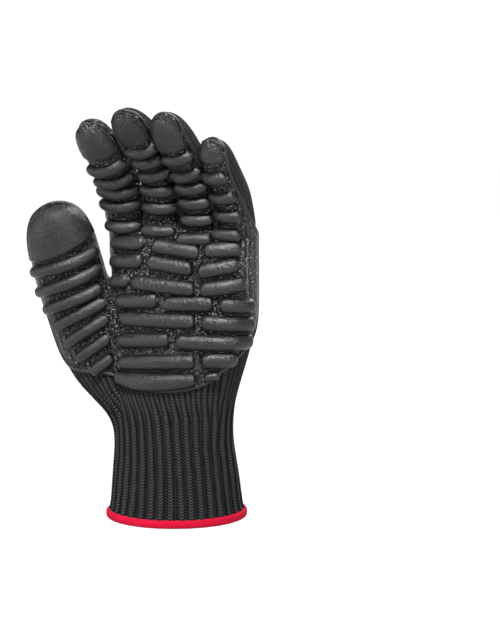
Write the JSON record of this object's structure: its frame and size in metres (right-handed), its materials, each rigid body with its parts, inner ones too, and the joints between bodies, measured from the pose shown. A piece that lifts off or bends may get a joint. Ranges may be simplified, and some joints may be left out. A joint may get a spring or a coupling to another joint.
{
  "type": "anti vibration work glove",
  "caption": "Knitted work glove for the left hand with a ribbed cuff, a rubber-coated palm and moulded rubber pads along the palm, thumb and fingers against vibration.",
  "frame": {"origin": "centre of the cuff opening, in the plane of the hem's lower edge", "axes": "+Z from the cuff to the fingertips, -Y out of the palm, +Y out of the back of the hand, -X towards the thumb"},
  "size_m": [0.1384, 0.0864, 0.2524],
  "materials": {
    "hand_knit": "plain knitted charcoal grey yarn",
    "cuff_knit": "ribbed knitted charcoal grey yarn",
    "coat_rubber": "satin black rubber coat",
    "pad_rubber": "satin moulded rubber",
    "hem_yarn": "overlocked crimson yarn",
    "label_amber": "bare printed amber field",
    "label_dark": "bare printed dark field",
    "label_red": "bare printed red field"
  },
  "bodies": {
    "root": {"hem": "hem_yarn", "knit_cuff": "cuff_knit", "knit_hand": "hand_knit", "knit_index": "hand_knit", "knit_little": "hand_knit", "knit_middle": "hand_knit", "knit_ring": "hand_knit", "knit_thumb": "hand_knit", "label_lower": "label_dark", "label_tab": "label_red", "label_upper": "label_amber", "pad_index_1": "pad_rubber", "pad_index_2": "pad_rubber", "pad_index_3": "pad_rubber", "pad_index_4": "pad_rubber", "pad_index_5": "pad_rubber", "pad_little_1": "pad_rubber", "pad_little_2": "pad_rubber", "pad_little_3": "pad_rubber", "pad_little_4": "pad_rubber", "pad_middle_1": "pad_rubber", "pad_middle_2": "pad_rubber", "pad_middle_3": "pad_rubber", "pad_middle_4": "pad_rubber", "pad_middle_5": "pad_rubber", "pad_middle_6": "pad_rubber", "pad_palm_a1": "pad_rubber", "pad_palm_a2": "pad_rubber", "pad_palm_a3": "pad_rubber", "pad_palm_b1": "pad_rubber", "pad_palm_b2": "pad_rubber", "pad_palm_b3": "pad_rubber", "pad_palm_c1": "pad_rubber", "pad_palm_c2": "pad_rubber", "pad_palm_c3": "pad_rubber", "pad_palm_d1": "pad_rubber", "pad_palm_d2": "pad_rubber", "pad_palm_d3": "pad_rubber", "pad_palm_e1": "pad_rubber", "pad_palm_e2": "pad_rubber", "pad_palm_f1": "pad_rubber", "pad_palm_f2": "pad_rubber", "pad_palm_g1": "pad_rubber", "pad_palm_g2": "pad_rubber", "pad_palm_h1": "pad_rubber", "pad_palm_h2": "pad_rubber", "pad_ring_1": "pad_rubber", "pad_ring_2": "pad_rubber", "pad_ring_3": "pad_rubber", "pad_ring_4": "pad_rubber", "pad_ring_5": "pad_rubber", "pad_ring_6": "pad_rubber", "pad_thumb_1": "pad_rubber", "pad_thumb_2": "pad_rubber", "pad_thumb_3": "pad_rubber", "pad_thumb_4": "pad_rubber", "pad_thumb_5": "pad_rubber", "pad_thumb_6": "pad_rubber", "pad_thumb_7": "pad_rubber", "palm_coat": "coat_rubber"}
  },
  "joints": []
}
